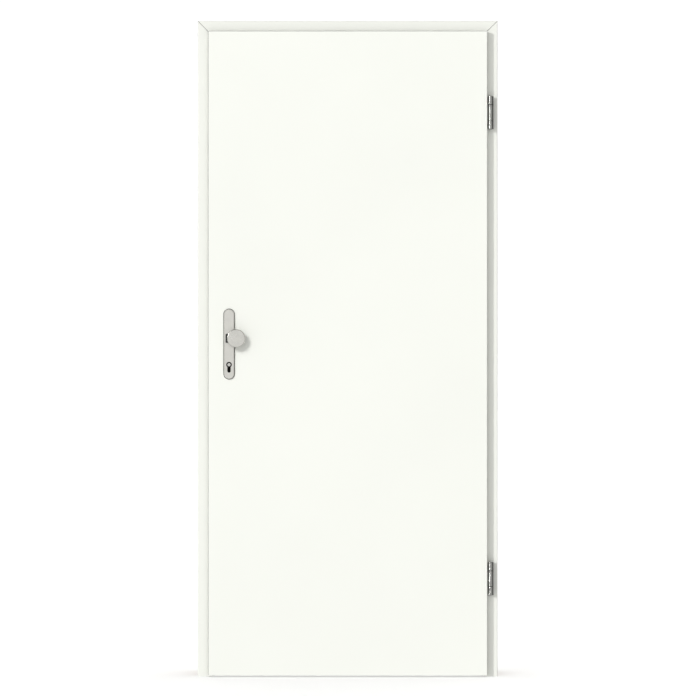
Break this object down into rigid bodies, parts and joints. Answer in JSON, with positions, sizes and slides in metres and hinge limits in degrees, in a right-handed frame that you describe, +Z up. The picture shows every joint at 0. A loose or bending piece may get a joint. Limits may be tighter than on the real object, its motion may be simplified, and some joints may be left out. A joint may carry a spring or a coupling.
{
  "type": "apartment entrance door",
  "caption": "Plain white rebated entrance door in a mitred timber frame, hung on three-part barrel hinges, with a long plate, a cranked fixed knob outside and a lever inside.",
  "frame": {"origin": "on the wall side of the hinge jamb lining, at floor level, midway through the depth of the lining", "axes": "+X out of the hinge jamb into the wall, +Y from the knob side through the wall, +Z up"},
  "size_m": [0.925, 0.2325, 2.0225],
  "materials": {
    "leaf_lacquer": "satin white lacquer on board",
    "frame_lacquer": "satin white lacquer on board",
    "core_board": "raw particle board",
    "seal_rubber": "matt",
    "hinge_nickel": "satin nickel plate",
    "satin_fittings": "satin anodised",
    "lock_steel": "zinc plated",
    "black_plastic": "matt",
    "cylinder_dark": "burnished dark",
    "cylinder_plug": "nickel plate",
    "seal_channel": "mill finish"
  },
  "bodies": {
    "frame": {"hinge_lining": "frame_lacquer", "lock_lining": "frame_lacquer", "head_lining": "frame_lacquer", "hinge_front_architrave": "frame_lacquer", "lock_front_architrave": "frame_lacquer", "head_front_architrave": "frame_lacquer", "hinge_back_architrave": "frame_lacquer", "lock_back_architrave": "frame_lacquer", "head_back_architrave": "frame_lacquer", "hinge_seal": "seal_rubber", "lock_seal": "seal_rubber", "head_seal": "seal_rubber", "strike_plate": "lock_steel", "upper_hinge_frame_knuckles": "hinge_nickel", "upper_hinge_pin": "lock_steel", "upper_hinge_washers": "black_plastic", "lower_hinge_frame_knuckles": "hinge_nickel", "lower_hinge_pin": "lock_steel", "lower_hinge_washers": "black_plastic"},
    "leaf": {"leaf_hinge_stile": "leaf_lacquer", "leaf_lock_stile": "leaf_lacquer", "leaf_top_rail": "leaf_lacquer", "leaf_bottom_rail": "leaf_lacquer", "leaf_front_facing": "leaf_lacquer", "leaf_back_facing": "leaf_lacquer", "upper_hinge_leaf_knuckle": "hinge_nickel", "lower_hinge_leaf_knuckle": "hinge_nickel", "leaf_core": "core_board", "lock_faceplate": "lock_steel", "lock_case": "lock_steel", "latch_bolt": "lock_steel", "dead_bolt": "lock_steel", "front_plate": "satin_fittings", "back_plate": "satin_fittings", "knob": "satin_fittings", "lever_handle": "satin_fittings", "knob_collar": "black_plastic", "lever_collar": "black_plastic", "cylinder_body": "cylinder_dark", "cylinder_front_plug": "cylinder_plug", "cylinder_back_plug": "cylinder_plug", "drop_seal_housing": "seal_channel", "drop_seal_lip": "seal_rubber"}
  },
  "joints": [
    {"name": "door_swing", "type": "hinge", "parent": "frame", "child": "leaf", "pos_m": [0.012, -0.1025, 0], "axis": [0, 0, 1], "range_deg": [0, 175]}
  ]
}
